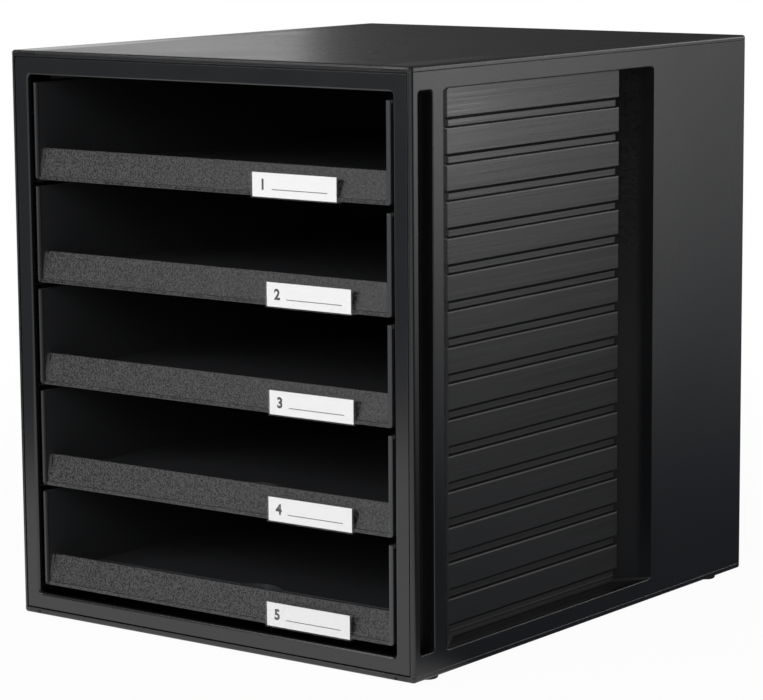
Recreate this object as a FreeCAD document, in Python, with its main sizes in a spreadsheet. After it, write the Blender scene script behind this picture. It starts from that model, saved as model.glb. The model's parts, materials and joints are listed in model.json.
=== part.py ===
import FreeCAD, Part
import os
import re

# A desktop drawer unit: a moulded cabinet of snapped panels with a stack of open
# letter trays. X runs to the right, Y from the front to the back and Z up. The origin
# is the middle of the footprint, on the surface that the feet stand on. Inside this
# source, y counts from the cabinet's front plane and z from the underside of its
# shell, and place() moves every finished piece to the origin.

SIZES = {
    # cabinet shell
    "cabinet_width": 275.0,
    "cabinet_depth": 330.0,
    "plate_thickness": 3.2,
    "skin_thickness": 2.4,
    "back_thickness": 2.0,
    "outer_round": 2.0,
    "seam_round": 0.4,
    "hollow_round": 0.5,
    "pocket_wall": 1.5,
    "assembly_gap": 0.2,
    "locating_rib_drop": 5.0,
    "locating_rib_thickness": 1.6,
    "locating_rib_margin": 30.0,
    # feet
    "foot_height": 1.8,
    "foot_diameter": 12.0,
    "foot_seat_depth": 1.2,
    "foot_round": 1.2,
    "foot_side_inset": 1.2,
    "foot_front_distance": 20.8,
    "foot_rear_distance": 29.0,
    # front frame
    "frame_thickness": 3.2,
    "frame_setback": 0.2,
    "frame_groove_width": 0.6,
    "frame_groove_depth": 1.2,
    "frame_edge_round": 1.5,
    "frame_bottom_border": 12.5,
    "frame_top_border": 13.4,
    "opening_side_gap": 2.0,
    "opening_corner": 2.0,
    "clip_offset": 70.0,
    "clip_width": 16.0,
    "clip_length": 11.0,
    "clip_thickness": 1.6,
    "clip_hook": 0.8,
    "clip_hook_length": 3.0,
    # upright slot in each side panel
    "slot_frame_gap": 0.6,
    "slot_width": 12.7,
    "slot_bottom": 13.8,
    "slot_top_margin": 12.8,
    "slot_depth": 8.0,
    "slot_corner": 2.0,
    # slatted recess in each side panel
    "recess_front": 27.2,
    "recess_length": 201.9,
    "recess_bottom": 12.3,
    "recess_top_margin": 12.7,
    "recess_depth": 12.0,
    "recess_front_run": 21.0,
    "recess_rear_run": 21.4,
    "recess_ledge_rise": 0.6,
    "recess_corner": 2.0,
    "slat_gap": 5.3,
    "slat_relief": 2.6,
    "slat_round": 0.5,
    "lowest_slat_rise": 3.7,
    # trays
    "tray_height": 53.4,
    "tray_spacing": 4.0,
    "space_below_trays": 5.0,
    "space_above_trays": 4.3,
    "tray_setback": 1.9,
    "tray_rear_gap": 0.5,
    "tray_wall": 1.6,
    "tray_rim_width": 2.9,
    "tray_rim_depth": 2.5,
    "tray_rim_height": 2.2,
    "tray_rim_round": 0.6,
    "tray_corner": 2.0,
    "floor_rise": 5.1,
    "floor_thickness": 1.6,
    "low_floor_rise": 2.1,
    "floor_step_distance": 43.0,
    "scoop_radius": 18.2,
    "scoop_distance": 31.5,
    "lip_height": 17.3,
    "lip_lean": 4.2,
    "lip_thickness": 1.8,
    "lip_inset": 0.4,
    "lip_round": 0.6,
    "flange_inset": 0.2,
    "flange_thickness": 1.6,
    # runners, rails and stops
    "runner_rise": 5.7,
    "runner_width": 2.0,
    "runner_thickness": 1.8,
    "runner_start": 12.0,
    "running_gap": 0.3,
    "side_gap": 0.5,
    "rail_thickness": 2.0,
    "rail_setback": 0.6,
    "guide_thickness": 1.5,
    "guide_start": 30.0,
    "stop_gap": 2.7,
    "stop_height": 8.0,
    "stop_length": 4.0,
    "pull_travel": 232.0,
    # label holders and cards
    "card_width": 55.6,
    "card_height": 12.8,
    "card_thickness": 0.3,
    "holder_wall": 0.5,
    "card_gap": 0.1,
    "holder_drop": 0.8,
    "holder_gap": 0.1,
    "hook_gap": 0.7,
}

# One value per tray, from the top one down: how far each clip-on label holder's
# left end stands to the right of the middle.
LABEL_LEFT = {
    "label_left_1": 32.6,
    "label_left_2": 41.4,
    "label_left_3": 42.4,
    "label_left_4": 40.8,
    "label_left_5": 38.8,
}
SIZES.update(LABEL_LEFT)
TRAYS = len(LABEL_LEFT)
SLATS_PER_TRAY = 3
SIDES = {"right": 1, "left": -1}
# How far tools reach past what they cut, how deep joined blocks run into each other,
# and the largest share of a wall that a rounded edge may take.
REACH = 10.0
OVERLAP = 0.5
LARGEST_ROUND = 0.85
# How near an edge must lie to a limit to count as on it.
TOLERANCE = 0.01

doc = FreeCAD.newDocument("DrawerUnit")
sheet = doc.addObject("Spreadsheet::Sheet", "Sizes")
for row, (alias, value) in enumerate(SIZES.items(), start=1):
    sheet.set(f"A{row}", alias)
    sheet.set(f"B{row}", str(value))
    sheet.setAlias(f"B{row}", alias)
doc.recompute()

# Formulas that several pieces share. Heights in the cabinet count from the underside
# of its shell, and heights in a tray from the tray's underside.
HALF_WIDTH = "(cabinet_width / 2)"
SKIN_INSIDE = f"({HALF_WIDTH} - skin_thickness)"
BACK_FACE = "(cabinet_depth - assembly_gap - back_thickness)"
FRAME_BACK = "(frame_setback + frame_thickness)"
TRAY_PITCH = "(tray_height + tray_spacing)"
LOWEST_TRAY = "(frame_bottom_border + space_below_trays)"
TRAYS_TOP = f"({LOWEST_TRAY} + {TRAYS - 1} * {TRAY_PITCH} + tray_height)"
OPENING_TOP = f"({TRAYS_TOP} + space_above_trays)"
CABINET_HEIGHT = f"({OPENING_TOP} + frame_top_border)"
SHELL_TOP = f"({CABINET_HEIGHT} - plate_thickness)"

RECESS_FLOOR = f"({HALF_WIDTH} - recess_depth)"
RECESS_TOP = f"({CABINET_HEIGHT} - recess_top_margin)"
PANEL_INSIDE = f"({RECESS_FLOOR} - pocket_wall)"
SLAT_FACE = f"({RECESS_FLOOR} + slat_relief)"
SLAT_END = "(recess_front + recess_length - recess_rear_run)"
SLOT_FRONT = f"({FRAME_BACK} + slot_frame_gap + pocket_wall)"
SLOT_TOP = f"({CABINET_HEIGHT} - slot_top_margin)"

RUNNER_EDGE = f"({PANEL_INSIDE} - side_gap)"
HALF_TRAY = f"({RUNNER_EDGE} - runner_width)"
FLANGE_EDGE = f"({RUNNER_EDGE} - flange_inset)"
RAIL_EDGE = f"({HALF_TRAY} + side_gap)"
HALF_OPENING = f"({RUNNER_EDGE} + opening_side_gap)"
TRAY_REAR = f"({BACK_FACE} - tray_rear_gap)"
TRAY_LENGTH = f"({TRAY_REAR} - tray_setback)"
TRAY_INSIDE = f"({HALF_TRAY} - tray_wall)"
WALL_CORE = f"({HALF_TRAY} - tray_wall / 2)"
RIM_EDGE = f"({TRAY_INSIDE} + tray_rim_width)"
FLOOR_TOP = "(floor_rise + floor_thickness)"
LOW_FLOOR_TOP = "(low_floor_rise + floor_thickness)"
GUIDE_RISE = "(runner_rise + runner_thickness + running_gap)"
STOP_RISE = f"({GUIDE_RISE} + guide_thickness + stop_gap)"

HOLDER_DEPTH = "(2 * holder_wall + card_thickness + 2 * card_gap)"
HOLDER_WIDTH = "(card_width + 2 * card_gap + 2 * holder_wall)"
HOLDER_HEIGHT = "(card_height + 2 * card_gap + holder_wall)"


def formula(text):
    """Write the sheet's name before every alias in a formula."""
    def named(match):
        word = match.group(0)
        return f"Sizes.{word}" if word in SIZES else word
    return re.sub(r"[a-z_]+[a-z_0-9]*", named, text)


def bind(item, **formulas):
    """Tie properties of an item to formulas, a double underscore standing for a dot."""
    for name, text in formulas.items():
        item.setExpression(name.replace("__", "."), formula(text))


def number(alias):
    """The present value of one size."""
    return float(sheet.get(alias))


def limited(radius, *walls):
    """A radius from the sheet, kept well inside the walls that carry it."""
    return min(number(radius), *(LARGEST_ROUND * number(wall) for wall in walls))


def block(name, x, y, z):
    """A box between pairs of formulas along each axis."""
    item = doc.addObject("Part::Box", name)
    bind(item, Placement__Base__x=x[0], Length=f"({x[1]}) - ({x[0]})")
    bind(item, Placement__Base__y=y[0], Width=f"({y[1]}) - ({y[0]})")
    bind(item, Placement__Base__z=z[0], Height=f"({z[1]}) - ({z[0]})")
    return item


def both_sides(x):
    """The same pair of limits on the other side of the middle."""
    return (f"-({x[1]})", f"-({x[0]})")


def fuse(name, items):
    item = doc.addObject("Part::MultiFuse", name)
    item.Shapes = items
    item.Refine = True
    return item


def cut(name, base, tool):
    item = doc.addObject("Part::Cut", name)
    item.Base = base
    item.Tool = tool
    item.Refine = True
    return item


def common(name, base, tool):
    item = doc.addObject("Part::Common", name)
    item.Base = base
    item.Tool = tool
    return item


def lies_along(edge, axis):
    """Whether a straight edge runs along the axis "x", "y" or "z"."""
    if not isinstance(edge.Curve, Part.Line):
        return False
    return abs(getattr(edge.tangentAt(edge.FirstParameter), axis)) > 0.999


def slants(edge):
    """Whether an edge runs along none of the axes."""
    return not any(lies_along(edge, axis) for axis in "xyz")


def at(value):
    """The limits of edges that lie at one value."""
    return (value, value)


def edge_test(axis=None, **limits):
    """A test for edges along an axis whose middle lies within the given limits."""
    def test(edge):
        if axis and not lies_along(edge, axis):
            return False
        middle = edge.CenterOfMass
        return all(low - TOLERANCE <= getattr(middle, side) <= high + TOLERANCE
                   for side, (low, high) in limits.items())
    return test


def rounded(name, base, radius, test):
    """Round the edges of an item that pass the test."""
    doc.recompute()
    item = doc.addObject("Part::Fillet", name)
    item.Base = base
    chosen = [index for index, edge in enumerate(base.Shape.Edges, start=1) if test(edge)]
    item.Edges = [(index, radius, radius) for index in chosen]
    return item


FINISHED = []


def place(item, label, x="0", y="0", z="0"):
    """Name a finished piece and move it from the cabinet's corner to the origin."""
    item.Label = label
    bind(item, Placement__Base__x=x)
    bind(item, Placement__Base__y=f"({y}) - cabinet_depth / 2")
    bind(item, Placement__Base__z=f"({z}) + foot_height")
    FINISHED.append(item)


# Top and bottom plates: a plate with rounded outer edges, and ribs that locate it
# between the side panels.
def plate(name, z_low, z_high, rib_z, outside):
    """A plate whose outside is its "ZMax" or "ZMin" face."""
    inside = "ZMin" if outside == "ZMax" else "ZMax"
    base = block(f"{name}_blank", (f"-{HALF_WIDTH}", HALF_WIDTH), ("0", "cabinet_depth"),
                 (z_low, z_high))
    corner = limited("outer_round", "skin_thickness")
    shell = rounded(f"{name}_corners", base, corner, edge_test("z"))
    levels = base.Shape.BoundBox
    edge = min(corner, limited("outer_round", "plate_thickness") - number("seam_round"))
    seam = number("seam_round")
    shell = rounded(f"{name}_edges", shell, edge, edge_test(z=at(getattr(levels, outside))))
    shell = rounded(f"{name}_seam", shell, seam, edge_test(z=at(getattr(levels, inside))))
    rib_x = (f"{SKIN_INSIDE} - assembly_gap - locating_rib_thickness", f"{SKIN_INSIDE} - assembly_gap")
    rib_y = ("locating_rib_margin", f"{BACK_FACE} - locating_rib_margin")
    rear_y = (f"{BACK_FACE} - assembly_gap - locating_rib_thickness", f"{BACK_FACE} - assembly_gap")
    ribs = [block(f"{name}_rib_right", rib_x, rib_y, rib_z),
            block(f"{name}_rib_left", both_sides(rib_x), rib_y, rib_z),
            block(f"{name}_rib_rear", (f"-{HALF_TRAY}", HALF_TRAY), rear_y, rib_z)]
    return fuse(f"{name}_ribbed", [shell] + ribs)


def clip_limits(side):
    """The limits of a frame clip across the width."""
    return (f"{side} * clip_offset - clip_width / 2", f"{side} * clip_offset + clip_width / 2")


CLIP_END = f"({FRAME_BACK} + clip_length)"


def clip_catches(name, z):
    """Pockets in a plate that the hooks of the frame's clips snap into."""
    catches = []
    for word, side in SIDES.items():
        low, high = clip_limits(side)
        x = (f"{low} - assembly_gap", f"{high} + assembly_gap")
        y = (f"{CLIP_END} - clip_hook_length - assembly_gap", f"{CLIP_END} + assembly_gap")
        catches.append(block(f"{name}_catch_{word}", x, y, z))
    return catches


def make_top_panel():
    rib_z = (f"{SHELL_TOP} - locating_rib_drop", f"{SHELL_TOP} + {OVERLAP}")
    ribbed = plate("top", SHELL_TOP, CABINET_HEIGHT, rib_z, "ZMax")
    catch_z = (f"{SHELL_TOP} - {OVERLAP}", f"{SHELL_TOP} + clip_hook")
    place(cut("top_plate", ribbed, fuse("top_catches", clip_catches("top", catch_z))), "top_panel")


FOOT_X = f"({HALF_WIDTH} - foot_side_inset - foot_diameter / 2)"
FOOT_PLACES = {
    "front_left": (f"-{FOOT_X}", "foot_front_distance"),
    "front_right": (FOOT_X, "foot_front_distance"),
    "rear_left": (f"-{FOOT_X}", "cabinet_depth - foot_rear_distance"),
    "rear_right": (FOOT_X, "cabinet_depth - foot_rear_distance"),
}


def disc(name, x, y, z, radius, height):
    """An upright cylinder, all by formulas."""
    item = doc.addObject("Part::Cylinder", name)
    bind(item, Radius=radius, Height=height)
    bind(item, Placement__Base__x=x, Placement__Base__y=y, Placement__Base__z=z)
    return item


def make_bottom_panel():
    rib_z = (f"plate_thickness - {OVERLAP}", "plate_thickness + locating_rib_drop")
    ribbed = plate("bottom", "0", "plate_thickness", rib_z, "ZMin")
    catch_z = ("plate_thickness - clip_hook", f"plate_thickness + {OVERLAP}")
    tools = clip_catches("bottom", catch_z)
    seat_radius = "foot_diameter / 2 + assembly_gap / 2"
    seat_height = f"foot_seat_depth + {OVERLAP}"
    for word, (x, y) in FOOT_PLACES.items():
        tools.append(disc(f"seat_{word}", x, y, f"-{OVERLAP}", seat_radius, seat_height))
    place(cut("bottom_plate", ribbed, fuse("bottom_pockets", tools)), "bottom_panel")


def make_feet():
    for word, (x, y) in FOOT_PLACES.items():
        pad = disc(f"pad_{word}", "0", "0", "0", "foot_diameter / 2", "foot_height + foot_seat_depth")
        radius = limited("foot_round", "foot_height")
        foot = rounded(f"rounded_pad_{word}", pad, radius, edge_test(z=at(0)))
        place(foot, f"foot_{word}", x, y, "-foot_height")


# Side panel: an outer skin with a slot pocket and a slatted recess pocket behind it,
# and on its inside a rail, a guide and a stop for every tray.
def recess_wedge(name, grow):
    """The recess's hollow, or with grow the pocket that stands round it."""
    item = doc.addObject("Part::Wedge", name)
    spread = f"({grow})"
    bind(item, Ymin="0", Ymax=f"recess_depth + {spread}")
    bind(item, Xmin=f"recess_front - {spread}", Xmax=f"recess_front + recess_length + {spread}")
    bind(item, Zmin=f"recess_bottom - {spread}", Zmax=f"{RECESS_TOP} + {spread}")
    bind(item, X2min=f"recess_front + recess_front_run - {spread}", X2max=f"{SLAT_END} + {spread}")
    bind(item, Z2min=f"recess_bottom + recess_ledge_rise - {spread}")
    bind(item, Z2max=f"{RECESS_TOP} - recess_ledge_rise + {spread}")
    item.Placement.Rotation = FreeCAD.Rotation(FreeCAD.Vector(0, 0, 1), 90)
    bind(item, Placement__Base__x=HALF_WIDTH)
    return item


def tray_bottom(index):
    """The height of a tray's underside, counted from the lowest tray at 0."""
    return f"({LOWEST_TRAY} + {index} * {TRAY_PITCH})"


def make_slats(hollow):
    """Raised slats on the recess's floor, the highest one running up to its top ledge."""
    slats = []
    count = TRAYS * SLATS_PER_TRAY
    pitch = f"({TRAY_PITCH} / {SLATS_PER_TRAY})"
    x = (f"{RECESS_FLOOR} - {OVERLAP}", SLAT_FACE)
    for index in range(count):
        low = f"({LOWEST_TRAY} + lowest_slat_rise + {index} * {pitch})"
        high = RECESS_TOP if index == count - 1 else f"({low} + {pitch} - slat_gap)"
        blank = block(f"slat_{index + 1}_blank", x, ("recess_front", SLAT_END), (low, high))
        doc.recompute()
        on_face = edge_test(x=at(blank.Shape.BoundBox.XMax))
        slats.append(rounded(f"slat_{index + 1}", blank, limited("slat_round", "slat_relief"), on_face))
    return common("slats", fuse("slat_blanks", slats), hollow)


def make_rails():
    """A rail, a guide and a stop for each tray, running out into the panel's walls."""
    rails = []
    x = (RAIL_EDGE, f"{SKIN_INSIDE} + {OVERLAP}")
    rail_y = (f"max({FRAME_BACK}; tray_setback + tray_rim_depth) + rail_setback", BACK_FACE)
    guide_y = ("guide_start", BACK_FACE)
    stop_back = f"({TRAY_REAR} - stop_length - pull_travel)"
    stop_y = (f"{stop_back} - stop_length", stop_back)
    for index in range(TRAYS):
        base = tray_bottom(index)
        rail_top = f"({base} + runner_rise - running_gap)"
        guide = f"({base} + {GUIDE_RISE})"
        stop = f"({base} + {STOP_RISE})"
        rails.append(block(f"rail_{index + 1}", x, rail_y, (f"{rail_top} - rail_thickness", rail_top)))
        rails.append(block(f"guide_{index + 1}", x, guide_y, (guide, f"{guide} + guide_thickness")))
        rails.append(block(f"stop_{index + 1}", x, stop_y, (stop, f"{stop} + stop_height")))
    return rails


def panel_blank():
    """The side panel's solid before its hollows are cut."""
    skin = block("skin_blank", (SKIN_INSIDE, HALF_WIDTH), ("0", "cabinet_depth"),
                 ("plate_thickness", SHELL_TOP))
    doc.recompute()
    outer_edges = edge_test("z", x=at(skin.Shape.BoundBox.XMax))
    skin = rounded("skin", skin, limited("outer_round", "skin_thickness"), outer_edges)
    slot_pocket = block("slot_pocket",
                        (f"{HALF_WIDTH} - slot_depth - pocket_wall", f"{SKIN_INSIDE} + {OVERLAP}"),
                        (f"{SLOT_FRONT} - pocket_wall", f"{SLOT_FRONT} + slot_width + pocket_wall"),
                        ("slot_bottom - pocket_wall", f"{SLOT_TOP} + pocket_wall"))
    flange = block("rear_flange",
                   (f"{SKIN_INSIDE} - locating_rib_drop", f"{SKIN_INSIDE} + {OVERLAP}"),
                   (f"{BACK_FACE} - assembly_gap - locating_rib_thickness", f"{BACK_FACE} - assembly_gap"),
                   ("plate_thickness", SHELL_TOP))
    pocket = recess_wedge("recess_pocket", "pocket_wall")
    return fuse("panel_body", [skin, slot_pocket, flange, pocket] + make_rails())


def make_side_panels():
    slot = block("slot_blank", (f"{HALF_WIDTH} - slot_depth", f"{HALF_WIDTH} + {REACH}"),
                 (SLOT_FRONT, f"{SLOT_FRONT} + slot_width"), ("slot_bottom", SLOT_TOP))
    slot = rounded("slot", slot, number("slot_corner"), edge_test("x"))
    wedge = recess_wedge("recess_blank", "0")
    doc.recompute()
    hollow = rounded("recess", wedge, number("recess_corner"), slants)
    opened = cut("panel_opened", panel_blank(), fuse("panel_hollows", [slot, hollow]))
    doc.recompute()
    mouths = wedge.Shape.BoundBox.united(slot.Shape.BoundBox)
    mouth_edges = edge_test(x=at(number("cabinet_width") / 2), y=(mouths.YMin, mouths.YMax),
                            z=(mouths.ZMin, mouths.ZMax))
    opened = rounded("panel_mouths", opened, number("hollow_round"), mouth_edges)
    right = fuse("right_panel", [opened, make_slats(hollow)])
    place(right, "right_side_panel")
    left = doc.addObject("Part::Mirroring", "left_panel")
    left.Source = right
    left.Normal = FreeCAD.Vector(1, 0, 0)
    # The mirror copies the right panel where it stands, so it needs no further move.
    place(left, "left_side_panel", y="cabinet_depth / 2", z="-foot_height")


def make_back_panel():
    width = f"(2 * {SKIN_INSIDE} - 2 * assembly_gap)"
    height = f"{SHELL_TOP} - plate_thickness - 2 * assembly_gap"
    panel = doc.addObject("Part::Box", "back_plate")
    bind(panel, Length=width, Width="back_thickness", Height=height)
    place(panel, "back_panel", f"-{width} / 2", BACK_FACE, "plate_thickness + assembly_gap")


# Front frame: a flat ring inside the shell's rim, with a groove round its face and
# four hooked clips behind its upper and lower borders.
FRAME_EDGE = f"({SKIN_INSIDE} - assembly_gap)"
FRAME_LOW = "(plate_thickness + assembly_gap)"
FRAME_HIGH = f"({SHELL_TOP} - assembly_gap)"


def frame_clips():
    clips = []
    tab_y = (f"{FRAME_BACK} - {OVERLAP}", CLIP_END)
    hook_y = (f"{CLIP_END} - clip_hook_length", CLIP_END)
    shapes = {
        "tab_top": (tab_y, (f"{FRAME_HIGH} - clip_thickness", FRAME_HIGH)),
        "hook_top": (hook_y, (f"{FRAME_HIGH} - {OVERLAP}", f"{FRAME_HIGH} + clip_hook")),
        "tab_bottom": (tab_y, (FRAME_LOW, f"{FRAME_LOW} + clip_thickness")),
        "hook_bottom": (hook_y, (f"{FRAME_LOW} - clip_hook", f"{FRAME_LOW} + {OVERLAP}")),
    }
    for part, (y, z) in shapes.items():
        for word, side in SIDES.items():
            clips.append(block(f"{part}_{word}", clip_limits(side), y, z))
    return clips


def make_front_frame():
    ring = block("frame_base", (f"-{FRAME_EDGE}", FRAME_EDGE),
                 ("frame_setback + frame_groove_depth", FRAME_BACK), (FRAME_LOW, FRAME_HIGH))
    face = block("frame_face",
                 (f"-{FRAME_EDGE} + frame_groove_width", f"{FRAME_EDGE} - frame_groove_width"),
                 ("frame_setback", FRAME_BACK),
                 (f"{FRAME_LOW} + frame_groove_width", f"{FRAME_HIGH} - frame_groove_width"))
    hole = block("opening_blank", (f"-{HALF_OPENING}", HALF_OPENING), (f"-{REACH}", f"{REACH}"),
                 ("frame_bottom_border", OPENING_TOP))
    hole = rounded("opening", hole, number("opening_corner"), edge_test("y"))
    frame = cut("frame_ring", fuse("frame_plate", [ring, face]), hole)
    doc.recompute()
    mouth = hole.Shape.BoundBox
    front = at(number("frame_setback"))
    mouth_edges = edge_test(x=(mouth.XMin, mouth.XMax), y=front, z=(mouth.ZMin, mouth.ZMax))
    frame = rounded("frame_rounded", frame, limited("frame_edge_round", "frame_thickness"), mouth_edges)
    place(fuse("frame_with_clips", [frame] + frame_clips()), "front_frame")


# Tray: side and rear walls, a rim round the front, a leaning lip and a floor that is
# low behind the lip. In its own frame x is 0 in the middle, y is 0 at the rim's front
# and z is 0 at the underside.
def tray_rim(name):
    base = block(f"{name}_rim_blank", (f"-{RIM_EDGE}", RIM_EDGE), ("0", "tray_rim_depth"),
                 ("0", "tray_height"))
    outer = rounded(f"{name}_rim_outer", base, number("tray_corner"), edge_test("y", z=at(0)))
    inner = block(f"{name}_rim_inner", (f"-{TRAY_INSIDE}", TRAY_INSIDE), (f"-{REACH}", f"{REACH}"),
                  ("tray_rim_height", f"tray_height + {REACH}"))
    ring = cut(f"{name}_rim_ring", outer, inner)
    radius = min(number("tray_rim_round"), LARGEST_ROUND * number("tray_rim_height") / 2)
    return rounded(f"{name}_rim", ring, radius, edge_test(y=at(0)))


def tray_lip(name):
    """A plate along X that leans back as it rises."""
    item = doc.addObject("Part::Wedge", f"{name}_lip_blank")
    bind(item, Ymin="0", Ymax="lip_height", Xmin=f"-{WALL_CORE}", Xmax=WALL_CORE)
    bind(item, X2min=f"-{WALL_CORE}", X2max=WALL_CORE)
    bind(item, Zmin="-lip_thickness", Zmax="0")
    bind(item, Z2min="-(lip_lean + lip_thickness)", Z2max="-lip_lean")
    item.Placement.Rotation = FreeCAD.Rotation(FreeCAD.Vector(1, 0, 0), 90)
    bind(item, Placement__Base__y="lip_inset")
    radius = min(number("lip_round"), LARGEST_ROUND * number("lip_thickness") / 2)
    return rounded(f"{name}_lip", item, radius, edge_test("x", z=at(number("lip_height"))))


def tray_floor(name):
    """A floor that steps down behind the lip, with a round scoop in the step."""
    wide = (f"-{WALL_CORE}", WALL_CORE)
    high = block(f"{name}_floor_high", wide, ("floor_step_distance", f"{TRAY_LENGTH} - tray_wall / 2"),
                 ("floor_rise", FLOOR_TOP))
    low = block(f"{name}_floor_low", wide, ("lip_inset + lip_thickness / 2", "floor_step_distance"),
                ("low_floor_rise", LOW_FLOOR_TOP))
    step = block(f"{name}_floor_step", wide,
                 ("floor_step_distance", "floor_step_distance + floor_thickness"),
                 ("low_floor_rise", FLOOR_TOP))
    cup = disc(f"{name}_scoop_wall", "0", "scoop_distance", "low_floor_rise",
               "scoop_radius + floor_thickness", f"{FLOOR_TOP} - low_floor_rise")
    scoop = disc(f"{name}_scoop", "0", "scoop_distance", LOW_FLOOR_TOP, "scoop_radius", f"{REACH}")
    above = block(f"{name}_above_low_floor", (f"-{HALF_TRAY}", HALF_TRAY), ("0", "floor_step_distance"),
                  (LOW_FLOOR_TOP, f"{LOW_FLOOR_TOP} + {REACH}"))
    whole = fuse(f"{name}_floor_parts", [high, low, step, cup])
    return cut(f"{name}_floor", whole, fuse(f"{name}_floor_hollow", [scoop, above]))


def tray_walls(name):
    """Side walls with their top flange, runner and stop lug, and the rear wall."""
    y = ("tray_rim_depth / 2", TRAY_LENGTH)
    shapes = {
        "wall": ((TRAY_INSIDE, HALF_TRAY), y, ("0", "tray_height")),
        "flange": ((WALL_CORE, FLANGE_EDGE), y, ("tray_height - flange_thickness", "tray_height")),
        "runner": ((WALL_CORE, RUNNER_EDGE), ("runner_start", TRAY_LENGTH),
                   ("runner_rise", "runner_rise + runner_thickness")),
        "lug": ((WALL_CORE, FLANGE_EDGE), (f"{TRAY_LENGTH} - stop_length", TRAY_LENGTH),
                (STOP_RISE, f"{STOP_RISE} + stop_height")),
    }
    walls = [block(f"{name}_wall_rear", (f"-{HALF_TRAY}", HALF_TRAY),
                   (f"{TRAY_LENGTH} - tray_wall", TRAY_LENGTH), ("0", "tray_height"))]
    for part, (x, y, z) in shapes.items():
        walls.append(block(f"{name}_{part}_right", x, y, z))
        walls.append(block(f"{name}_{part}_left", both_sides(x), y, z))
    return walls


def make_tray(number_down):
    name = f"tray_{number_down}"
    whole = fuse(f"{name}_shell", [tray_rim(name), tray_lip(name), tray_floor(name)] + tray_walls(name))
    place(whole, name, y="tray_setback", z=tray_bottom(TRAYS - number_down))


# Label holder: a clear pocket, open at the top, whose hook passes under the tray's
# rim and grips behind it. The card stands in the pocket.
def make_label(number_down):
    name = f"label_{number_down}"
    back = "(tray_setback - holder_gap)"
    bottom = f"({tray_bottom(TRAYS - number_down)} - holder_drop)"
    left = f"label_left_{number_down}"
    rim_back = "(holder_gap + tray_rim_depth + assembly_gap)"
    shell = block(f"{name}_shell", ("0", HOLDER_WIDTH), (f"-{HOLDER_DEPTH}", "0"), ("0", HOLDER_HEIGHT))
    slot = block(f"{name}_slot", ("holder_wall", f"{HOLDER_WIDTH} - holder_wall"),
                 (f"holder_wall - {HOLDER_DEPTH}", "-holder_wall"),
                 ("holder_wall", f"{HOLDER_HEIGHT} + {REACH}"))
    sole = block(f"{name}_sole", ("0", HOLDER_WIDTH), (f"-{HOLDER_DEPTH}", f"{rim_back} + holder_wall"),
                 ("0", "holder_wall"))
    hook = block(f"{name}_hook", ("0", HOLDER_WIDTH), (rim_back, f"{rim_back} + holder_wall"),
                 ("0", "holder_drop + low_floor_rise - hook_gap"))
    holder = fuse(f"{name}_holder", [cut(f"{name}_pocket", shell, slot), sole, hook])
    place(holder, f"label_holder_{number_down}", left, back, bottom)
    card = doc.addObject("Part::Box", f"{name}_card")
    bind(card, Length="card_width", Width="card_thickness", Height="card_height")
    place(card, f"label_card_{number_down}", f"{left} + holder_wall + card_gap",
          f"{back} - holder_wall - card_gap - card_thickness", f"{bottom} + holder_wall + card_gap")


def check_and_write():
    doc.recompute()
    bad = [item.Label for item in doc.Objects if {"Invalid", "Error"} & set(item.State)]
    if bad:
        raise RuntimeError("failed features: " + ", ".join(bad))
    for item in FINISHED:
        if item.Shape.isNull() or not item.Shape.isValid():
            raise RuntimeError("no valid shape: " + item.Label)
    os.makedirs("parts", exist_ok=True)
    for item in FINISHED:
        item.Shape.exportStep(f"parts/{item.Label}.step")


make_top_panel()
make_bottom_panel()
make_side_panels()
make_back_panel()
make_front_frame()
make_feet()
for tray in range(1, TRAYS + 1):
    make_tray(tray)
    make_label(tray)
check_and_write()
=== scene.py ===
# %% [markdown]
# # A desktop drawer unit in black plastic
#
# This notebook dresses a finished CAD model: a cabinet of five moulded panels with
# five open letter trays. The shapes are already right, so most of the work is light,
# plastic and the small things that moulding and use leave behind. Every length is in
# metres. X runs to the right, Y to the back and Z up, and the unit stands on z = 0.

# %% Load the frame
import json
import math

import bmesh
import bpy
from mathutils import Matrix, Vector


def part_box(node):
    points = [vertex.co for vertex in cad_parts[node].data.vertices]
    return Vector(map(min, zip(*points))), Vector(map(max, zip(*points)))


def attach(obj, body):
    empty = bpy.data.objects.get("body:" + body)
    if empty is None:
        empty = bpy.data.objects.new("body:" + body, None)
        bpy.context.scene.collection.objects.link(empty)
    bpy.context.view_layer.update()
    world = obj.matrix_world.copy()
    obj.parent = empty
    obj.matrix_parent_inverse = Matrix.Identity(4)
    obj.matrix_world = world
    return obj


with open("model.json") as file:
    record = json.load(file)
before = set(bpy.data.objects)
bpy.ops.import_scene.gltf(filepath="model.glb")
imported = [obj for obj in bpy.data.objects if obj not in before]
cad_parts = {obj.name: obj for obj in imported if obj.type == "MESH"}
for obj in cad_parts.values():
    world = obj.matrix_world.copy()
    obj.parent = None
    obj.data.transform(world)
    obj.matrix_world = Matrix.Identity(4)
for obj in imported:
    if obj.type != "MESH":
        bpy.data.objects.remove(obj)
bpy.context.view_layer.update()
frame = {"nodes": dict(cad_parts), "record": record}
NODES = frame["nodes"]
MM = 0.001
TRAYS = sorted(name for name in NODES if name.startswith("tray_"))

# %% [markdown]
# ## The camera
#
# A product shot of a box is taken from far away with a long lens, so that its edges
# stay nearly parallel. The direction below was worked out from the box's corners: the
# camera stands to the front right, a little higher than the top, and looks slightly
# down. A shift lens would keep the uprights quite parallel, but a plain one also works
# from every other side.

# %% Aim the camera
FRAME_WIDTH = 763
FOCAL_PIXELS = 3095.9
YAW, PITCH, ROLL = math.radians(-36.966), math.radians(8.930), math.radians(-0.396)

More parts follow.
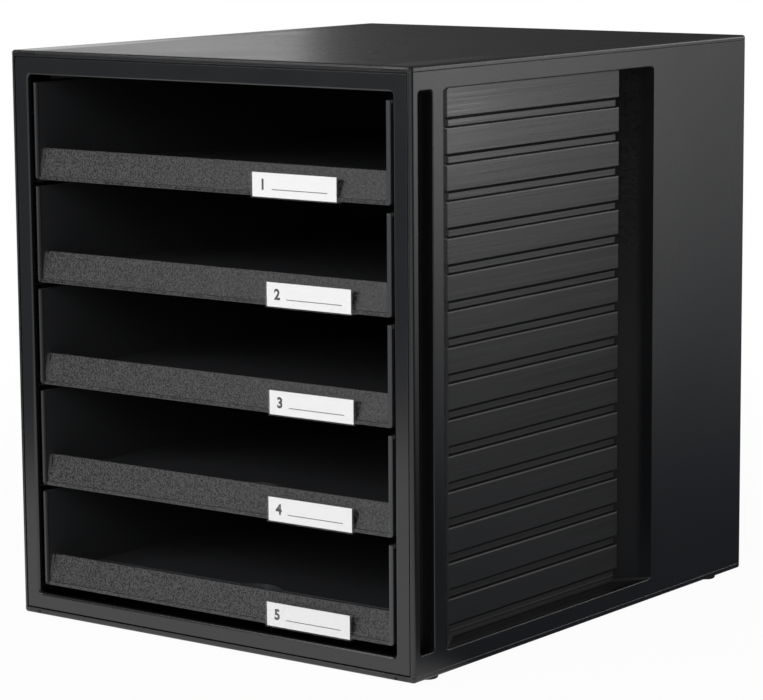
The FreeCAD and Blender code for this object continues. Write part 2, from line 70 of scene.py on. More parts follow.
look = Vector((math.sin(YAW) * math.cos(PITCH), math.cos(YAW) * math.cos(PITCH), -math.sin(PITCH)))
camera = bpy.data.objects.new("camera", bpy.data.cameras.new("camera"))
camera.data.sensor_width = 36.0
camera.data.lens = FOCAL_PIXELS / FRAME_WIDTH * camera.data.sensor_width
camera.data.clip_end = 100.0
turn = look.to_track_quat("-Z", "Y").to_matrix() @ Matrix.Rotation(ROLL, 3, "Z")
camera.matrix_world = Matrix.Translation((1.05722, -1.41328, 0.42025)) @ turn.to_4x4()
bpy.context.scene.collection.objects.link(camera)
bpy.context.scene.camera = camera
bpy.context.scene.view_settings.view_transform = "Standard"
print("lens", round(camera.data.lens, 1), "mm")

# %% [markdown]
# ## A small language for shaders
#
# A shader is a sum, and it reads best as one. The class below wraps one socket of a
# node. Plus, minus, times and divide on it add the Math nodes, and `node` adds any
# other node: first its settings, then what goes into its sockets. The alternative is
# a page of calls that make and link nodes one by one.

# %% Wrap a socket
class Wire:
    """A node's output socket, or a plain number, in one node tree."""

    def __init__(self, tree, socket=None):
        self.tree = tree
        self.socket = socket

    def node(self, kind, settings=None, sockets=None, output=0):
        made = self.tree.nodes.new(kind)
        for name, value in (settings or {}).items():
            if name == "stops":
                fill_ramp(made.color_ramp, value)
            else:
                setattr(made, name, value)
        for name, value in (sockets or {}).items():
            if isinstance(value, Wire):
                self.tree.links.new(value.socket, made.inputs[name])
            else:
                made.inputs[name].default_value = value
        return Wire(self.tree, made.outputs[output])

    def math(self, operation, *values):
        return self.node("ShaderNodeMath", {"operation": operation}, dict(enumerate(values)))

    def __add__(self, other):
        return self.math("ADD", self, other)

    def __sub__(self, other):
        return self.math("SUBTRACT", self, other)

    def __rsub__(self, other):
        return self.math("SUBTRACT", other, self)

    def __mul__(self, other):
        return self.math("MULTIPLY", self, other)

    def __truediv__(self, other):
        return self.math("DIVIDE", self, other)

    __radd__ = __add__
    __rmul__ = __mul__

    def between(self, low, high):
        """1 where the value is above low and below high, with soft ends."""
        rise = self.node("ShaderNodeMapRange", {"interpolation_type": "SMOOTHSTEP"},
                         {"Value": self, "From Min": low[0], "From Max": low[1]})
        fall = self.node("ShaderNodeMapRange", {"interpolation_type": "SMOOTHSTEP"},
                         {"Value": self, "From Min": high[0], "From Max": high[1], "To Min": 1.0, "To Max": 0.0})
        return rise * fall

    def scaled(self, low, high, to_low=0.0, to_high=1.0):
        """The value mapped from one range to another, and held at its ends."""
        return self.node("ShaderNodeMapRange", {}, {"Value": self, "From Min": low, "From Max": high,
                                                    "To Min": to_low, "To Max": to_high})


def fill_ramp(ramp, stops):
    while len(ramp.elements) < len(stops):
        ramp.elements.new(0.5)
    for element, (position, colour) in zip(ramp.elements, stops):
        element.position = position
        element.color = (*colour, 1.0)


# %% [markdown]
# ## The studio
#
# Black plastic shows almost nothing but what it mirrors, so the set around it matters
# more than its colour. A photographer lights such a thing with pale cards and keeps the
# rest of the room dark. A lamp at the front lights the trays' lips and the label cards,
# one at the back left is mirrored by the left part of the top, and two small ones at the
# back right draw the side's rounded edges.

# %% Place the lamps
def lamp(name, place, target, width, height, power):
    """A soft rectangular lamp at a place, facing a target."""
    light = bpy.data.lights.new(name, "AREA")
    light.shape = "RECTANGLE"
    light.size = width
    light.size_y = height
    light.energy = power
    item = bpy.data.objects.new(name, light)
    aim = (Vector(target) - Vector(place)).to_track_quat("-Z", "Y")
    item.matrix_world = Matrix.Translation(place) @ aim.to_matrix().to_4x4()
    item.visible_camera = False
    bpy.context.scene.collection.objects.link(item)
    return item


UNIT_MIDDLE = (0.0, 0.0, 0.2)
front_lamp = lamp("front_lamp", (0.45, -1.95, 1.05), UNIT_MIDDLE, 0.8, 0.8, 10)
lip_lamp = lamp("lip_lamp", (-0.25, -1.95, 0.85), UNIT_MIDDLE, 1.7, 0.9, 13.5)
for unmirrored in (front_lamp, lip_lamp):
    unmirrored.visible_glossy = False
lamp("lip_shine", (-0.85, -1.70, 0.69), UNIT_MIDDLE, 0.6, 0.55, 4.2)
lamp("top_lamp", (-3.05, 2.03, 0.7), UNIT_MIDDLE, 2.3, 1.0, 5.2)
lamp("side_lamp", (1.74, 1.81, 0.45), UNIT_MIDDLE, 0.5, 0.8, 2.5)
lamp("slat_lamp", (1.0, 1.90, 0.75), UNIT_MIDDLE, 0.6, 0.5, 3.5)
lamp("rim_lamp", (-1.3, -1.1, 1.75), UNIT_MIDDLE, 0.5, 0.5, 3)

# %% [markdown]
# The camera sees white all round, and so do rays through clear plastic. That white
# lights nothing, so it can't wash out the black. Mirrored rays see the same backdrop
# with its dark cards: on the floor a white sheet in front of the unit, which the lower
# part of the front frame shows, and a tone that rises with the distance behind it, which
# makes the side paler towards its top. All other rays meet a dim room and a real floor.

# %% Say what each kind of ray sees
def looking(tree, mirrored):
    """For a backdrop: which rays look straight at it, which mirror it, and its tone."""
    camera_ray = Wire(tree).node("ShaderNodeLightPath", output="Is Camera Ray")
    rays = camera_ray.socket.node.outputs
    straight = camera_ray.math("MAXIMUM", camera_ray, Wire(tree, rays["Is Transmission Ray"]))
    mirroring = Wire(tree, rays["Is Glossy Ray"])
    return straight, mirroring, straight + (1 - straight) * mirrored


# %% The backdrop above the horizon
world = bpy.data.worlds.new("studio")
bpy.context.scene.world = world
world.use_nodes = True
world_out = world.node_tree.nodes["World Output"]
world.node_tree.nodes.remove(world.node_tree.nodes["Background"])
sky = Wire(world.node_tree)
direction = sky.node("ShaderNodeTexCoord", output="Generated")
to_right, to_back, up = (sky.node("ShaderNodeSeparateXYZ", {}, {"Vector": direction}, letter) for letter in "XYZ")
ahead = to_back.scaled(-0.15, -0.5)
corner_card = to_right.between((-0.10, 0.20), (0.90, 0.97)) * up.scaled(0.08, 0.16, 0.8, 0.0)
front_card = corner_card.math("MAXIMUM", corner_card, up.scaled(0.08, 0.22, 0.14, 0.20))
right_card = to_right.between((0.38, 0.50), (0.80, 0.90)) * to_right.scaled(0.545, 0.62, 0.33, 1.0)
left_card = to_right.scaled(-0.50, -0.62, 0.0, 0.10)
cards = (right_card + left_card) * up.scaled(0.10, 0.22, 1.0, 0.0) + up.scaled(0.25, 0.50, 0.035, 0.20)
straight, mirroring, tone = looking(world.node_tree, ahead * front_card + (1 - ahead) * cards)
looked = straight.math("MAXIMUM", straight, mirroring)
room = to_back.scaled(-0.1, -0.8, 0.12, 0.5)
glow = sky.node("ShaderNodeBackground", {}, {"Color": (1, 1, 1, 1), "Strength": looked * tone + (1 - looked) * room})
world.node_tree.links.new(glow.socket, world_out.inputs["Surface"])

# %% The floor
FLOOR_REACH = 60.0
floor_mesh = bpy.data.meshes.new("floor")
corners = ((-1, -1), (1, -1), (1, 1), (-1, 1))
floor_mesh.from_pydata([(x * FLOOR_REACH, y * FLOOR_REACH, 0) for x, y in corners], [], [(0, 1, 2, 3)])
floor = bpy.data.objects.new("floor", floor_mesh)
bpy.context.scene.collection.objects.link(floor)

floor_look = bpy.data.materials.new("floor")
floor_look.use_nodes = True
floor_look.node_tree.nodes.clear()
pale = Wire(floor_look.node_tree)
spot = pale.node("ShaderNodeTexCoord", output="Object")
spot_x, spot_y = (pale.node("ShaderNodeSeparateXYZ", {}, {"Vector": spot}, letter) for letter in "XY")
away = pale.node("ShaderNodeVectorMath", {"operation": "LENGTH"}, {0: spot}, "Value")
folded = pale.node("ShaderNodeCombineXYZ", {}, {"X": spot_x.math("ABSOLUTE", spot_x), "Y": spot_y})
to_sheet = pale.node("ShaderNodeVectorMath", {"operation": "DISTANCE"}, {0: folded, 1: (-0.1, -0.4, 0)}, "Value")
aside = spot_x / away
corner = aside.between((-0.10, 0.20), (0.90, 0.97)) * away.scaled(0.25, 0.40, 0.0, 0.8)
sheet = to_sheet.scaled(0.45, 0.65, 1.0, 0.2)
sheet = sheet.math("MAXIMUM", sheet, corner)
forward = spot_y / away
in_front = spot_y.scaled(-0.10, -0.18) * forward.scaled(-0.15, -0.45)
beside = away.scaled(0.25, 0.40) * forward.scaled(0.60, 0.25) * aside.scaled(0.0, 0.3)
behind = away.math("MAXIMUM", away - 0.2, 0.0)
behind = behind.math("POWER", behind, 2.5)
far = aside.scaled(0.545, 0.62, 0.32, 0.98) * aside.scaled(0.36, 0.46) * behind / (behind + 1.95)
around = aside.between((-0.12, -0.02), (0.18, 0.30)) + aside.scaled(-0.55, -0.70, 0.0, 1.8)
far = far + around * behind / (behind + 0.6) * 0.6
mirrored = in_front * sheet + (1 - in_front) * (1 - beside) * (far + 0.075)
straight, mirroring, tone = looking(floor_look.node_tree, mirrored)
cool = pale.node("ShaderNodeMix", {"data_type": "RGBA"},
                 {0: tone.scaled(0.05, 0.40), 6: (0.88, 0.98, 1.20, 1), 7: (1, 1, 1, 1)}, output=2)
shine = pale.node("ShaderNodeEmission", {}, {"Color": cool, "Strength": tone})
lit = pale.node("ShaderNodeBsdfDiffuse", {}, {"Color": (0.6, 0.6, 0.6, 1.0)})
share = straight.math("MAXIMUM", straight * away.scaled(0.3, 1.0, 0.965, 1.0), mirroring)
seen = pale.node("ShaderNodeMixShader", {}, {0: share, 1: lit, 2: shine})
floor_out = floor_look.node_tree.nodes.new("ShaderNodeOutputMaterial")
floor_look.node_tree.links.new(seen.socket, floor_out.inputs["Surface"])
floor_mesh.materials.append(floor_look)
print(len(floor_look.node_tree.nodes), "nodes in the floor,", len(world.node_tree.nodes), "in the backdrop")

# %% [markdown]
# ## Moulded black plastic
#
# The unit is polystyrene, moulded in steel tools whose faces were eroded by sparks, so
# its surface is a fine grain that breaks up every reflection. Three things make it:
# a bump of small noise for the grain, a slow change of gloss for handling and flow, and
# edges that are never quite sharp. The Bevel node rounds the edges' shading without
# changing the mesh, and where it turns the normal away from the flat one, there is an
# edge, which the plastic wears a little smoother. A paler colour there is a painted
# highlight, and a near-black colour in the inner corners is painted shade.

# %% A finish and its parts
class Finish(Wire):
    """A material with one main shader, read and written through a Wire."""

    def __init__(self, name):
        self.material = bpy.data.materials.new(name)
        self.material.use_nodes = True
        super().__init__(self.material.node_tree)
        self.shader = self.tree.nodes["Principled BSDF"]
        self.place = self.node("ShaderNodeTexCoord", output="Object")

    def axis(self, letter):
        return self.node("ShaderNodeSeparateXYZ", {}, {"Vector": self.place}, output=letter)

    def noise(self, size, detail=2.0, stretch=(1, 1, 1), output=0, place=None):
        """Noise whose features are about the given size, stretched along the axes."""
        scaled = self.node("ShaderNodeMapping", {}, {"Vector": place or self.place,
                                                     "Scale": [1 / (size * s) for s in stretch]})
        return self.node("ShaderNodeTexNoise", {}, {"Vector": scaled, "Scale": 1.0, "Detail": detail}, output)

    def mix(self, factor, first, second):
        """A colour between two colours."""
        return self.node("ShaderNodeMix", {"data_type": "RGBA"}, {0: factor, 6: first, 7: second}, output=2)

    def edges(self, radius):
        """Rounded normals, and a mask that is 1 along edges."""
        rounded = self.node("ShaderNodeBevel", {"samples": 4}, {"Radius": radius})
        flat = self.node("ShaderNodeNewGeometry", output="Normal")
        alike = self.node("ShaderNodeVectorMath", {"operation": "DOT_PRODUCT"}, {0: rounded, 1: flat}, "Value")
        return rounded, (1 - alike).scaled(0.0, 0.12)

    def crease(self, reach):
        """1 in the inner corners of the piece, within about half the reach."""
        open_sky = self.node("ShaderNodeAmbientOcclusion", {"samples": 6, "only_local": True},
                             {"Distance": reach}, "AO")
        return open_sky.scaled(0.86, 0.72)

    def bump(self, height, depth, normal=None, strength=1.0):
        sockets = {"Height": height, "Distance": depth, "Strength": strength}
        if normal:
            sockets["Normal"] = normal
        return self.node("ShaderNodeBump", {}, sockets)

    def set(self, **sockets):
        """Put values or wires into the main shader, a double underscore for a space."""
        for name, value in sockets.items():
            socket = self.shader.inputs[name.replace("__", " ")]
            if isinstance(value, Wire):
                self.tree.links.new(value.socket, socket)
            else:
                socket.default_value = value


def grey(value, warm=1.0, cool=1.0):
    return (value * warm, value, value * cool, 1.0)


# %% Painted shade and highlight lines along the slats
FIRST_SLAT, SLAT_PITCH, SLAT_HEIGHT = 23.0 * MM, 57.4 / 3 * MM, 13.83 * MM
SLAT_FACE, LAST_SLAT = 0.1281, 290.0 * MM


def slat_lines(paint, across):
    """Masks of painted shade in the creases above and below each slat, and of a painted highlight along its top edge.
    """
    height = paint.axis("Z")
    step = ((height - FIRST_SLAT) / SLAT_PITCH).math("FRACT", (height - FIRST_SLAT) / SLAT_PITCH) * SLAT_PITCH
    floor = across.between((0.1245, 0.1250), (0.1262, 0.1268))
    face = across.between((SLAT_FACE - 0.6 * MM, SLAT_FACE - 0.3 * MM), (0.1290, 0.1295))
    over = step.scaled(SLAT_PITCH - 1.6 * MM, SLAT_PITCH - 1.4 * MM) * floor
    ledge = step.between((SLAT_HEIGHT - 0.1 * MM, SLAT_HEIGHT), (SLAT_HEIGHT + 0.2 * MM, SLAT_HEIGHT + 0.5 * MM))
    ledge = ledge * across.between((0.1245, 0.1250), (SLAT_FACE - 0.8 * MM, SLAT_FACE - 0.5 * MM))
    foot = step.between((SLAT_HEIGHT + 0.4 * MM, SLAT_HEIGHT + 0.6 * MM), (SLAT_HEIGHT + 1.1 * MM, SLAT_HEIGHT + 1.4 * MM))
    brow = step.between((SLAT_HEIGHT - 1.0 * MM, SLAT_HEIGHT - 0.7 * MM), (SLAT_HEIGHT, SLAT_HEIGHT + 0.1 * MM))
    below_last = height.scaled(LAST_SLAT + 1 * MM, LAST_SLAT) * paint.axis("Y").scaled(0.0429, 0.0426)
    return (over + ledge) * below_last, (foot * floor * 0.5 + brow * face) * below_last


# %% Shell, frame and feet
def shell_finish():
    paint = Finish("shell_plastic")
    rounded, edge = paint.edges(0.4 * MM)
    grain = paint.noise(0.6 * MM, 3.0)
    patches = paint.noise(70 * MM, 1.0)
    streaks = paint.noise(1.3 * MM, 4.0, stretch=(1, 90, 1))
    across = paint.axis("X").math("ABSOLUTE", paint.axis("X"))
    inside = across.between((0.1185, 0.119), (0.1315, 0.135))
    crease = paint.crease(1.3 * MM)
    edge = edge * (1 - crease)
    dark, bright = slat_lines(paint, across)
    colour = paint.mix(patches.scaled(0.25, 0.75), grey(0.0064, 0.96, 1.12), grey(0.0076, 0.97, 1.10))
    # Painted highlight: a pale colour along the edges and along the slats' top edges.
    colour = paint.mix(edge.math("MAXIMUM", edge, bright), colour, grey(0.10))
    # Painted shade: a near-black colour in the inner corners and in the creases along the slats.
    painted_shade = crease.math("MAXIMUM", crease, dark)
    colour = paint.mix(painted_shade, colour, grey(0.0005))
    rubbed = paint.axis("Y").scaled(-0.100, 0.040, 0.0, 0.14) + paint.axis("Z").scaled(0.27, 0.13, -0.08, 0.20)
    rubbed = rubbed * inside
    gloss = patches.scaled(0.2, 0.8, 0.25, 0.29) + (streaks.scaled(0.3, 0.7) - 0.5) * 0.14 * inside
    gloss = gloss + rubbed - edge * 0.05 + painted_shade * 0.7
    paint.set(Base__Color=colour, Roughness=gloss, IOR=1.59)
    height = grain * (1 - inside * 0.7) + streaks * inside * 1.1
    paint.set(Normal=paint.bump(height, 0.04 * MM, rounded, 0.8))
    return paint.material


def frame_finish():
    paint = Finish("frame_plastic")
    rounded, edge = paint.edges(0.35 * MM)
    grain = paint.noise(0.5 * MM, 2.0)
    patches = paint.noise(35 * MM, 2.0)
    crease = paint.crease(1.2 * MM)
    # Painted highlight: a paler colour along the edges.
    colour = paint.mix(edge * (1 - crease) * 0.5, grey(0.008, 0.97, 1.08), grey(0.09))
    # Painted shade: a near-black colour in the inner corners and in the groove.
    colour = paint.mix(crease, colour, grey(0.0005))
    paint.set(Base__Color=colour, Roughness=patches.scaled(0.3, 0.7, 0.15, 0.20) + crease * 0.6, IOR=1.59)
    paint.set(Normal=paint.bump(grain, 0.008 * MM, rounded, 0.6))
    return paint.material


def foot_finish():
    paint = Finish("foot_plastic")
    rounded, edge = paint.edges(0.3 * MM)
    grain = paint.noise(0.3 * MM, 2.0)
    colour = paint.mix(grain, grey(0.010), grey(0.016))
    # Painted highlight: a paler colour along the edges.
    paint.set(Base__Color=paint.mix(edge, colour, grey(0.03)), Roughness=grain.scaled(0.3, 0.7, 0.55, 0.7))
    paint.set(Normal=paint.bump(grain, 0.03 * MM, rounded, 0.6))
    return paint.material


# %% [markdown]
# ## The trays
#
# A tray has two skins. The front of its lip is grained coarsely enough to sparkle,
# because that is what hands touch. The inside is nearly polished, so that paper slides,
# and it carries faint scuffs along the way that paper goes in and out.

# %% Tray plastic
def tray_finish():
    paint = Finish("tray_plastic")
    rounded, edge = paint.edges(0.35 * MM)
    coarse = paint.noise(1.05 * MM, 1.0)
    fine = paint.noise(0.4 * MM, 2.0)
    scuffs = paint.noise(0.9 * MM, 4.0, stretch=(1, 90, 1))
    across = paint.axis("X").math("ABSOLUTE", paint.axis("X"))
    lip = paint.axis("Y").between((-0.170, -0.168), (-0.1585, -0.1575)) * across.scaled(0.1195, 0.1190)
    speckle = paint.mix(coarse.scaled(0.40, 0.60), grey(0.002), grey(0.048))
    front = paint.axis("Y").scaled(-0.1615, -0.1620) * (1 - lip)
    rim = front * across.scaled(0.1210, 0.1214)
    # Painted shade: a near-black colour on the inner part of the left wall's front strip.
    shade = front * (1 - rim) * paint.axis("X").scaled(-0.1188, -0.1190)
    colour = paint.mix(rim, grey(0.038, 0.97, 1.08), grey(0.030, 0.97, 1.08))
    colour = paint.mix(lip, colour, speckle)
    # Painted highlight: a paler colour along the lip's and the rim's edges.
    colour = paint.mix(edge * (lip * 0.6 + rim), colour, grey(0.09))
    colour = paint.mix(shade, colour, grey(0.003))
    worn = scuffs.scaled(0.60, 0.72) * (1 - lip)
    colour = paint.mix(worn * 0.35, colour, grey(0.02))
    gloss = (lip + rim) * 0.14 + shade * 0.5 + 0.30 + (coarse.scaled(0.3, 0.7) - 0.5) * 0.20 * lip + worn * 0.12
    paint.set(Base__Color=colour, Roughness=gloss, IOR=1.59)
    height = coarse * lip * 1.7 + fine * (1 - lip) * 0.12
    paint.set(Normal=paint.bump(height, 0.12 * MM, rounded, 0.9))
    return paint.material


# %% Clear plastic, card and ink
def clear_finish():
    paint = Finish("clear_plastic")
    rounded, edge = paint.edges(0.12 * MM)
    haze = paint.noise(3 * MM, 2.0)
    # Painted reflection: greyer, more opaque edges stand in for the line that light reflected and bent in a clear edge
    # draws.
    paint.set(Base__Color=paint.mix(edge, grey(0.9), grey(0.75, 0.98, 1.01)), IOR=1.5)
    paint.set(Roughness=haze.scaled(0.3, 0.7, 0.05, 0.11), Alpha=edge * 0.35 + 0.04, Normal=rounded)
    return paint.material


def card_finish():
    paint = Finish("card")
    fibres = paint.noise(0.35 * MM, 4.0, stretch=(4, 1, 1))
    colour = paint.mix(fibres, grey(0.86), grey(0.93))
    paint.set(Base__Color=colour, Roughness=fibres.scaled(0.3, 0.7, 0.6, 0.75))
    paint.set(Normal=paint.bump(fibres, 0.01 * MM, strength=0.3))
    return paint.material


def ink_finish():
    paint = Finish("ink")
    wear = paint.noise(0.25 * MM, 3.0)
    paint.set(Base__Color=paint.mix(wear, grey(0.015), grey(0.035)), Roughness=wear.scaled(0.3, 0.7, 0.4, 0.6))
    return paint.material


# %% Dress the nodes
FINISHES = {
    "shell_plastic": shell_finish(),
    "frame_plastic": frame_finish(),
    "tray_plastic": tray_finish(),
    "foot_plastic": foot_finish(),
    "clear_plastic": clear_finish(),
    "card": card_finish(),
}
for part in frame["record"]["subparts"]:
    node = NODES[part["node"]]
    node.data.materials.clear()
    node.data.materials.append(FINISHES[part["material_slot"]])

# %% [markdown]
# ## The cards' numbers
#
# Each card carries the tray's number and a line to write on. Text could be an image on
# the card, but a mesh stays crisp from near and needs no picture. A text object lies in
# the XY plane, so it is made a mesh first and then stood up against the card's face.
# Ink has almost no thickness: a few hundredths of a millimetre lift it off the card.

# %% Print the cards
INK_DEPTH = 0.03 * MM
NUMBER_HEIGHT = 5.4 * MM
NUMBER_LEFT = 5.0 * MM
LINE_LEFT, LINE_RIGHT, LINE_RISE, LINE_WEIGHT = 13 * MM, 6 * MM, 4.0 * MM, 0.4 * MM
FONT_CAP = 0.70


def link(name, mesh, finish, body=None):
    """Put a finished mesh in the scene, and on a CAD body where it has one."""
    item = bpy.data.objects.new(name, mesh)
    bpy.context.scene.collection.objects.link(item)
    mesh.materials.clear()
    mesh.materials.append(finish)
    if body:
        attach(item, body)
    return item


def evaluated_mesh(item):
    """The mesh that an object's curve or modifiers give, as a plain mesh of its own."""
    depsgraph = bpy.context.evaluated_depsgraph_get()
    return bpy.data.meshes.new_from_object(item.evaluated_get(depsgraph))


def add_box(shape, low, high):
    """Add a closed box between two corners to a bmesh."""
    middle = (Vector(low) + Vector(high)) / 2
    size = Matrix.Diagonal((*(Vector(high) - Vector(low)), 1.0))
    bmesh.ops.create_cube(shape, size=1.0, matrix=Matrix.Translation(middle) @ size)


def number_mesh(words, left, bottom, front):
    """A number of given height, stood up with its back on the card."""
    text = bpy.data.curves.new("number", "FONT")
    text.body = words
    text.size = NUMBER_HEIGHT / FONT_CAP
    text.offset = 0.30 * MM
    text.extrude = INK_DEPTH / 2
    item = bpy.data.objects.new("number", text)
    bpy.context.scene.collection.objects.link(item)
    mesh = evaluated_mesh(item)
    bpy.data.objects.remove(item)
    stand = Matrix.Rotation(math.radians(90), 4, "X")
    mesh.transform(Matrix.Translation((left, front - INK_DEPTH / 2, bottom)) @ stand)
    return mesh


ink = ink_finish()
for tray in TRAYS:
    number = tray.split("_")[1]
    low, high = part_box(f"label_card_{number}")
    bottom = low.z + LINE_RISE
    shape = bmesh.new()
    shape.from_mesh(number_mesh(number, low.x + NUMBER_LEFT, bottom, low.y))
    add_box(shape, (low.x + LINE_LEFT, low.y - INK_DEPTH, low.z + LINE_RISE),
            (high.x - LINE_RIGHT, low.y, low.z + LINE_RISE + LINE_WEIGHT))
    bmesh.ops.remove_doubles(shape, verts=shape.verts, dist=0.001 * MM)
    mesh = bpy.data.meshes.new(f"card_number_{number}")
    shape.to_mesh(mesh)
    shape.free()
    printed = link(f"card_number_{number}", mesh, ink, f"drawer_{number}")
    print(printed.name, [round(value / MM, 1) for value in printed.dimensions], "mm")

# %% [markdown]
# ## Where the lip meets the walls
#
# A moulded corner is never square, because plastic can't fill one, so a small hollow
# round runs up each end of the lip. It faces both the front and the side, and that is
# why it catches the light as one thin bright line in an otherwise dark corner. It is a
# strip between two short rows of points, one at the lip's foot and one at its top.

# %% Round the lips' ends
ROUND_TOP, ROUND_FOOT = 1.1 * MM, 0.7 * MM
ROUND_STEPS = 6
WALL = 1.6 * MM
RIM_FRONT, LIP_FOOT, LIP_TOP = 2.2 * MM, 0.4 * MM, 16.7 * MM
LIP_SLOPE = 4.2 / 17.3
RUNNER = 2.0 * MM


def corner_row(wall_x, inward, lip_y, z, radius):
    """Points of a hollow round's section: the corner itself and an arc before it."""
    row = [(wall_x - inward * 0.2 * MM, lip_y + 0.2 * MM, z)]
    for step in range(ROUND_STEPS + 1):
        angle = math.radians(90) * step / ROUND_STEPS
        x = wall_x + inward * radius * (1 - math.cos(angle))
        row.append((x, lip_y - radius * (1 - math.sin(angle)), z))
    return row


def add_strip(shape, rows):
    """Add a closed strip through two rows of points."""
    lower, upper = ([shape.verts.new(point) for point in row] for row in rows)
    count = len(lower)
    for index in range(count):
        after = (index + 1) % count
        shape.faces.new((lower[index], lower[after], upper[after], upper[index]))
    shape.faces.new(lower[::-1])
    shape.faces.new(upper)


for tray in TRAYS:
    number = tray.split("_")[1]
    low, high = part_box(tray)
    inside = high.x - RUNNER - WALL
    shape = bmesh.new()
    for side in (-1, 1):
        rows = [corner_row(side * inside, -side, low.y + LIP_FOOT + LIP_SLOPE * z, low.z + z, radius)
                for z, radius in ((RIM_FRONT, ROUND_FOOT), (LIP_TOP, ROUND_TOP))]
        add_strip(shape, rows)
    bmesh.ops.recalc_face_normals(shape, faces=shape.faces)
    mesh = bpy.data.meshes.new(f"lip_corners_{number}")
    shape.to_mesh(mesh)
    shape.free()
    link(f"lip_corners_{number}", mesh, FINISHES["tray_plastic"], f"drawer_{number}")
print(len(TRAYS) * 2, "corners rounded, inner width", round(inside * 2 / MM, 1), "mm")

# %% [markdown]
# ## Ribs and pin marks
#
# Under its floor a tray is stiffened by a lattice of thin ribs, and on its floor the
# mould's ejector pins leave round marks. Both are one small shape repeated on a grid,
# which is what Geometry Nodes are for. The two trees below take their sizes as named
# inputs: one makes a row of bars and the other a grid of flat discs. The result of each
# is turned into a plain mesh, because instances and live modifiers don't last.

# %% A small builder for geometry trees
class Geometry:
    """A Geometry Nodes tree whose inputs are named when it is made."""

    def __init__(self, name, **defaults):
        self.tree = bpy.data.node_groups.new(name, "GeometryNodeTree")
        self.tree.interface.new_socket("Geometry", in_out="OUTPUT", socket_type="NodeSocketGeometry")
        self.keys = {}
        for label, value in defaults.items():
            kind = "NodeSocketInt" if isinstance(value, int) else "NodeSocketFloat"
            socket = self.tree.interface.new_socket(label, in_out="INPUT", socket_type=kind)
            socket.default_value = value
            self.keys[label] = socket.identifier
        self.inputs = self.tree.nodes.new("NodeGroupInput")

    def node(self, kind, settings=None, sockets=None, output=0):
        made = self.tree.nodes.new(kind)
        for name, value in (settings or {}).items():
            setattr(made, name, value)
        for name, value in (sockets or {}).items():
            if isinstance(value, str):
                value = self.inputs.outputs[value]
            if isinstance(value, bpy.types.NodeSocket):
                self.tree.links.new(value, made.inputs[name])
            else:
                made.inputs[name].default_value = value
        return made.outputs[output]

    def finish(self, geometry, finish):
        """End the tree in real geometry with its material."""
        real = self.node("GeometryNodeRealizeInstances", {}, {"Geometry": geometry})
        painted = self.node("GeometryNodeSetMaterial", {}, {"Geometry": real, "Material": finish})
        out = self.tree.nodes.new("NodeGroupOutput")
        self.tree.links.new(painted, out.inputs[0])

    def grown(self, name, matrix, **values):
        """Run the tree once with these values and give the mesh, moved by a matrix."""
        item = bpy.data.objects.new(name, bpy.data.meshes.new(name))
        bpy.context.scene.collection.objects.link(item)
        modifier = item.modifiers.new("tree", "NODES")
        modifier.node_group = self.tree
        for label, value in values.items():
            modifier[self.keys[label]] = value
        mesh = evaluated_mesh(item)
        bpy.data.objects.remove(item)
        mesh.transform(matrix)
        return mesh


# %% Bars side by side, and discs on a grid
bars = Geometry("rib_row", Length=0.1, Height=0.003, Thickness=0.001, Spread=0.1, Count=4)
bar_size = bars.node("ShaderNodeCombineXYZ", {}, {"X": "Thickness", "Y": "Length", "Z": "Height"})
bar = bars.node("GeometryNodeMeshCube", {}, {"Size": bar_size})
row = bars.node("GeometryNodeMeshGrid", {}, {"Size X": "Spread", "Size Y": 0.0, "Vertices X": "Count", "Vertices Y": 1})
bars.finish(bars.node("GeometryNodeInstanceOnPoints", {}, {"Points": row, "Instance": bar}), FINISHES["tray_plastic"])

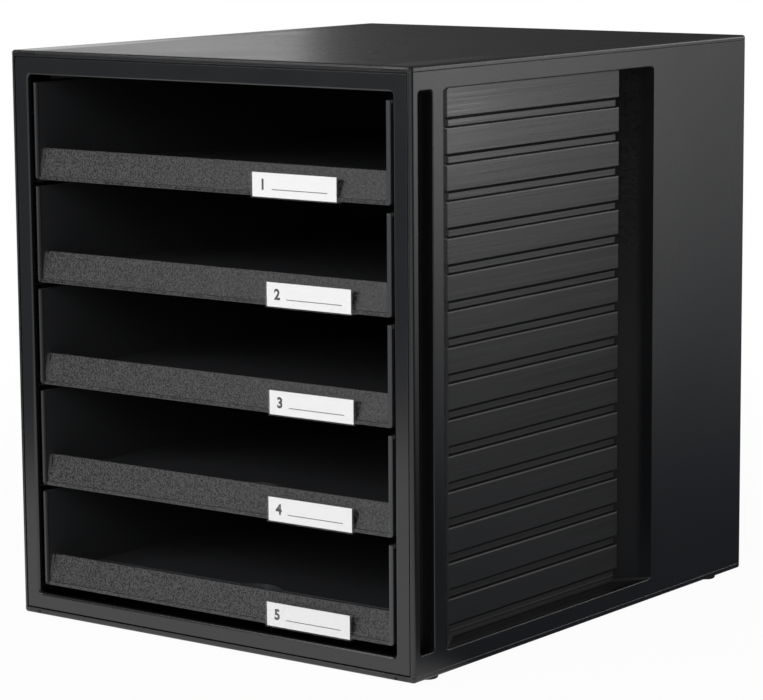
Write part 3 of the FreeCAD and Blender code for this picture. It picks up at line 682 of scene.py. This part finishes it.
discs = Geometry("pin_marks", Width=0.1, Length=0.1, Across=3, Along=4, Radius=0.003, Height=0.0001)
disc = discs.node("GeometryNodeMeshCylinder", {}, {"Vertices": 24, "Radius": "Radius", "Depth": "Height"})
grid = discs.node("GeometryNodeMeshGrid", {}, {"Size X": "Width", "Size Y": "Length",
                                               "Vertices X": "Across", "Vertices Y": "Along"})
discs.finish(discs.node("GeometryNodeInstanceOnPoints", {}, {"Points": grid, "Instance": disc}),
             FINISHES["tray_plastic"])
print(len(bars.tree.nodes), "and", len(discs.tree.nodes), "nodes")

# %% Grow them under and on every tray's floor
RIB_LOW, RIB_HEIGHT, RIB_THICKNESS = 2.2 * MM, 3.0 * MM, 1.0 * MM
HIGH_FLOOR_START, HIGH_FLOOR_TOP, PIN_HEIGHT = 46 * MM, 6.7 * MM, 0.08 * MM
SCOOP_CLEAR = 30 * MM


def joined(name, parts, finish, body):
    """Several meshes as one piece on a body."""
    shape = bmesh.new()
    for part in parts:
        shape.from_mesh(part)
    mesh = bpy.data.meshes.new(name)
    shape.to_mesh(mesh)
    shape.free()
    return link(name, mesh, finish, body)


for tray in TRAYS:
    number = tray.split("_")[1]
    low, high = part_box(tray)
    front, back = low.y + HIGH_FLOOR_START, high.y - 3 * MM
    middle = (front + back) / 2
    rib_middle = low.z + RIB_LOW + RIB_HEIGHT / 2
    turn = Matrix.Rotation(math.radians(90), 4, "Z")
    long_ribs = bars.grown("long_ribs", Matrix.Translation((0, middle + SCOOP_CLEAR / 2, rib_middle)),
                           Length=back - front - SCOOP_CLEAR, Height=RIB_HEIGHT, Thickness=RIB_THICKNESS,
                           Spread=0.19, Count=5)
    cross_ribs = bars.grown("cross_ribs", Matrix.Translation((0, middle + SCOOP_CLEAR / 2, rib_middle)) @ turn,
                            Length=0.236, Height=RIB_HEIGHT, Thickness=RIB_THICKNESS,
                            Spread=back - front - SCOOP_CLEAR - 10 * MM, Count=4)
    joined(f"floor_ribs_{number}", (long_ribs, cross_ribs), FINISHES["tray_plastic"], f"drawer_{number}")
    marks = discs.grown("marks", Matrix.Translation((0, middle + SCOOP_CLEAR / 2, low.z + HIGH_FLOOR_TOP)),
                        Width=0.17, Length=0.19, Across=3, Along=4, Radius=3 * MM, Height=2 * PIN_HEIGHT)
    joined(f"pin_marks_{number}", (marks,), FINISHES["tray_plastic"], f"drawer_{number}")
print("ribs and pin marks on", len(TRAYS), "trays")
